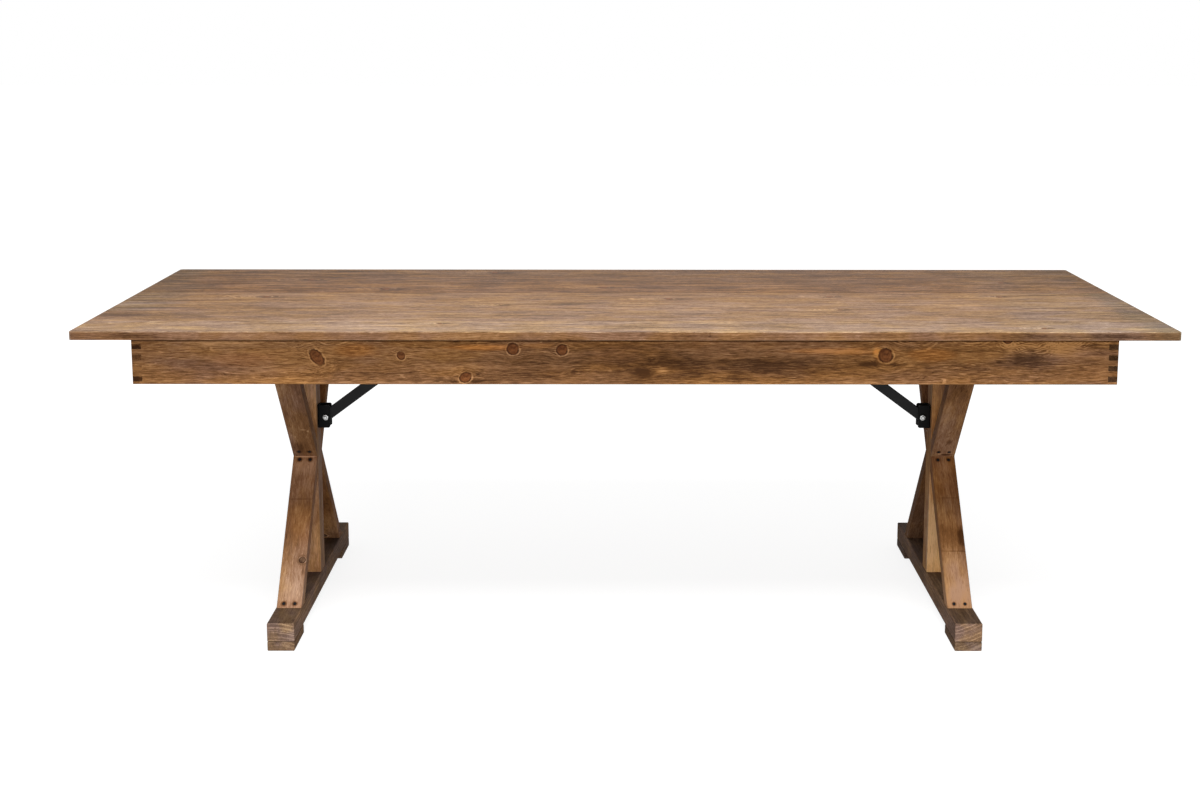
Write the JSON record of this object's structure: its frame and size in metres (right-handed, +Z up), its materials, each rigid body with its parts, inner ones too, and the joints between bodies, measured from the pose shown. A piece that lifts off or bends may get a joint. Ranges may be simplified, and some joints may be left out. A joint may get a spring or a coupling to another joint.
{
  "type": "folding sawbuck table",
  "caption": "Folding sawbuck dining table: plank top on a box-jointed apron, X trestles that fold inward, black steel braces.",
  "frame": {"origin": "on the floor under the middle of the top", "axes": "+X along the table, +Y from the front to the back, +Z up"},
  "size_m": [2.4384, 1.016, 0.762],
  "materials": {
    "top_wood": "satin",
    "frame_wood": "satin",
    "black_steel": "satin",
    "zinc_steel": "satin"
  },
  "bodies": {
    "tabletop": {"top_board_1": "top_wood", "top_board_2": "top_wood", "top_board_3": "top_wood", "top_board_4": "top_wood", "top_board_5": "top_wood", "top_board_6": "top_wood", "top_board_7": "top_wood", "front_apron": "frame_wood", "back_apron": "frame_wood", "left_apron": "frame_wood", "right_apron": "frame_wood", "corner_blocks": "frame_wood", "center_batten": "frame_wood", "left_hinge_cleat": "frame_wood", "left_hinge_fixed_leaves": "zinc_steel", "left_hinge_pins": "zinc_steel", "left_top_bracket": "black_steel", "left_top_rivet": "zinc_steel", "right_hinge_cleat": "frame_wood", "right_hinge_fixed_leaves": "zinc_steel", "right_hinge_pins": "zinc_steel", "right_top_bracket": "black_steel", "right_top_rivet": "zinc_steel"},
    "left_trestle": {"left_center_post": "frame_wood", "left_top_rail": "frame_wood", "left_foot_bar": "frame_wood", "left_foot_pads": "frame_wood", "left_arm_front_upper": "frame_wood", "left_arm_front_lower": "frame_wood", "left_arm_back_upper": "frame_wood", "left_arm_back_lower": "frame_wood", "left_hinge_moving_leaves": "zinc_steel", "left_leg_bracket": "black_steel", "left_leg_bolt": "zinc_steel", "left_leg_nut": "zinc_steel"},
    "left_long_link": {"left_brace_channel": "black_steel", "left_brace_rivets": "zinc_steel"},
    "left_short_link": {"left_brace_bar": "black_steel"},
    "right_trestle": {"right_center_post": "frame_wood", "right_top_rail": "frame_wood", "right_foot_bar": "frame_wood", "right_foot_pads": "frame_wood", "right_arm_front_upper": "frame_wood", "right_arm_front_lower": "frame_wood", "right_arm_back_upper": "frame_wood", "right_arm_back_lower": "frame_wood", "right_hinge_moving_leaves": "zinc_steel", "right_leg_bracket": "black_steel", "right_leg_bolt": "zinc_steel", "right_leg_nut": "zinc_steel"},
    "right_long_link": {"right_brace_channel": "black_steel", "right_brace_rivets": "zinc_steel"},
    "right_short_link": {"right_brace_bar": "black_steel"}
  },
  "joints": [
    {"name": "left_trestle_fold", "type": "hinge", "parent": "tabletop", "child": "left_trestle", "pos_m": [-0.7591, 0, 0.699], "axis": [0, -1, 0], "range_deg": [0, 90]},
    {"name": "left_long_link_turn", "type": "hinge", "parent": "left_trestle", "child": "left_long_link", "pos_m": [-0.743, 0, 0.462], "axis": [0, -1, 0], "range_deg": [-126.62, 0]},
    {"name": "left_short_link_turn", "type": "hinge", "parent": "tabletop", "child": "left_short_link", "pos_m": [-0.402, 0, 0.715], "axis": [0, -1, 0], "range_deg": [0, 143.38]},
    {"name": "right_trestle_fold", "type": "hinge", "parent": "tabletop", "child": "right_trestle", "pos_m": [0.7591, 0, 0.699], "axis": [0, 1, 0], "range_deg": [0, 90]},
    {"name": "right_long_link_turn", "type": "hinge", "parent": "right_trestle", "child": "right_long_link", "pos_m": [0.743, 0, 0.462], "axis": [0, 1, 0], "range_deg": [-126.62, 0]},
    {"name": "right_short_link_turn", "type": "hinge", "parent": "tabletop", "child": "right_short_link", "pos_m": [0.402, 0, 0.715], "axis": [0, 1, 0], "range_deg": [0, 143.38]}
  ],
  "couplings": [
    {"joint": "left_long_link_turn", "follows": "left_trestle_fold", "ratio": -1.4069},
    {"joint": "left_short_link_turn", "follows": "left_trestle_fold", "ratio": 1.5931},
    {"joint": "right_long_link_turn", "follows": "right_trestle_fold", "ratio": -1.4069},
    {"joint": "right_short_link_turn", "follows": "right_trestle_fold", "ratio": 1.5931}
  ]
}
